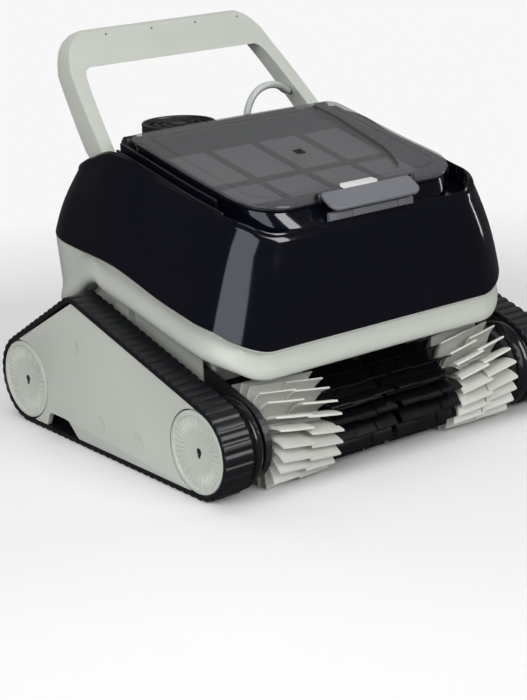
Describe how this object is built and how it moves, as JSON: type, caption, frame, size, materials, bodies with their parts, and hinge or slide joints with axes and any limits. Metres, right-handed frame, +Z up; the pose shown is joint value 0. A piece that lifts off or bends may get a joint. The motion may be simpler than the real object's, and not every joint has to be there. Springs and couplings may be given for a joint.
{
  "type": "robotic pool cleaner",
  "caption": "Tracked pool-cleaning robot with a smoked filter lid, tilting carry handle, split rotating brush and floating cable.",
  "frame": {"origin": "on the floor, midway between the front and rear axles and between the two tracks", "axes": "+X to the machine's right seen from the front, -Y to the front where brush and latch are, +Z up"},
  "size_m": [0.4412, 0.615, 0.402],
  "materials": {
    "shell_light": "satin",
    "shell_black": "gloss",
    "lid_smoke": "gloss",
    "latch_grey": "satin",
    "trim_black": "satin",
    "basket_grey": "satin",
    "mesh_grey": "woven",
    "label_white": "satin",
    "rubber_black": "matte",
    "seal_black": "matte",
    "blade_white": "matte",
    "blade_black": "satin",
    "steel": "brushed",
    "bush_bronze": "machined",
    "board_green": "matte",
    "cable_grey": "satin",
    "chassis_dark": "matte"
  },
  "bodies": {
    "root": {"base_shell": "shell_light", "chassis": "chassis_dark", "bottom_plate": "shell_light", "upper_shell": "shell_black", "deck": "shell_black", "filter_housing": "shell_black", "basket_frame": "basket_grey", "basket_mesh": "mesh_grey", "lid_hinge_pins": "steel", "latch_keeper": "latch_grey", "handle_pins": "steel", "outlet_collar": "shell_black", "outlet_grille": "shell_black", "motor_box": "trim_black", "motor_box_cover": "trim_black", "pump_motor": "steel", "drive_motors": "steel", "control_board": "board_green", "brush_bracket": "trim_black", "track_bushes": "bush_bronze", "screws": "steel", "side_plate_left": "shell_light", "track_frame_left": "trim_black", "belt_left": "rubber_black", "side_plate_right": "shell_light", "track_frame_right": "trim_black", "belt_right": "rubber_black", "cable_gland": "trim_black", "cord_loop": "cable_grey", "cord_drop": "cable_grey", "cord_coil": "cable_grey", "coil_tie": "trim_black", "cord_connector": "trim_black"},
    "lid": {"lid": "lid_smoke", "lid_seal": "seal_black", "lid_label": "label_white", "lid_hinge_arms": "lid_smoke"},
    "latch": {"latch_plate": "latch_grey"},
    "handle": {"handle": "shell_light"},
    "inlet_flaps": {"inlet_flaps": "trim_black"},
    "impeller": {"impeller": "trim_black", "impeller_shaft": "steel"},
    "front_axle_left": {"front_wheel_left": "trim_black", "front_cap_left": "shell_light", "brush_core_left": "trim_black", "brush_white_left": "blade_white", "brush_black_left": "blade_black"},
    "rear_wheel_left": {"rear_wheel_left": "trim_black", "rear_cap_left": "shell_light", "rear_shaft_left": "steel"},
    "idler_left": {"idler_left": "trim_black"},
    "front_axle_right": {"front_wheel_right": "trim_black", "front_cap_right": "shell_light", "brush_core_right": "trim_black", "brush_white_right": "blade_white", "brush_black_right": "blade_black"},
    "rear_wheel_right": {"rear_wheel_right": "trim_black", "rear_cap_right": "shell_light", "rear_shaft_right": "steel"},
    "idler_right": {"idler_right": "trim_black"}
  },
  "joints": [
    {"name": "lid_hinge", "type": "hinge", "parent": "root", "child": "lid", "pos_m": [0, 0.068, 0.3], "axis": [-1, 0, 0], "range_deg": [0, 95]},
    {"name": "latch_pivot", "type": "hinge", "parent": "lid", "child": "latch", "pos_m": [0, -0.1502, 0.2684], "axis": [-1, 0, 0], "range_deg": [0, 30], "stiffness_Nm_per_rad": 0.05, "springref_deg": -8.59},
    {"name": "handle_swing", "type": "hinge", "parent": "root", "child": "handle", "pos_m": [0, 0.084, 0.272], "axis": [-1, 0, 0], "range_deg": [-25, 12], "deforming": ["cord_loop", "cord_drop"]},
    {"name": "flap_hinge", "type": "hinge", "parent": "root", "child": "inlet_flaps", "pos_m": [0, -0.015, 0.019], "axis": [-1, 0, 0], "range_deg": [0, 60]},
    {"name": "impeller_spin", "type": "hinge", "parent": "root", "child": "impeller", "pos_m": [-0.037, 0.108, 0.275], "axis": [0, 0, 1], "continuous": true},
    {"name": "rear_wheel_spin_left", "type": "hinge", "parent": "root", "child": "rear_wheel_left", "pos_m": [-0.19, 0.153, 0.048], "axis": [1, 0, 0], "continuous": true},
    {"name": "front_axle_spin_left", "type": "hinge", "parent": "root", "child": "front_axle_left", "pos_m": [-0.19, -0.153, 0.048], "axis": [1, 0, 0], "continuous": true},
    {"name": "idler_spin_left", "type": "hinge", "parent": "root", "child": "idler_left", "pos_m": [-0.2, 0.0568, 0.137], "axis": [1, 0, 0], "continuous": true},
    {"name": "rear_wheel_spin_right", "type": "hinge", "parent": "root", "child": "rear_wheel_right", "pos_m": [0.19, 0.153, 0.048], "axis": [1, 0, 0], "continuous": true},
    {"name": "front_axle_spin_right", "type": "hinge", "parent": "root", "child": "front_axle_right", "pos_m": [0.19, -0.153, 0.048], "axis": [1, 0, 0], "continuous": true},
    {"name": "idler_spin_right", "type": "hinge", "parent": "root", "child": "idler_right", "pos_m": [0.2, 0.0568, 0.137], "axis": [1, 0, 0], "continuous": true}
  ],
  "couplings": [
    {"joint": "front_axle_spin_left", "follows": "rear_wheel_spin_left", "ratio": 1},
    {"joint": "idler_spin_left", "follows": "rear_wheel_spin_left", "ratio": 2.4876},
    {"joint": "front_axle_spin_right", "follows": "rear_wheel_spin_right", "ratio": 1},
    {"joint": "idler_spin_right", "follows": "rear_wheel_spin_right", "ratio": 2.4876}
  ]
}
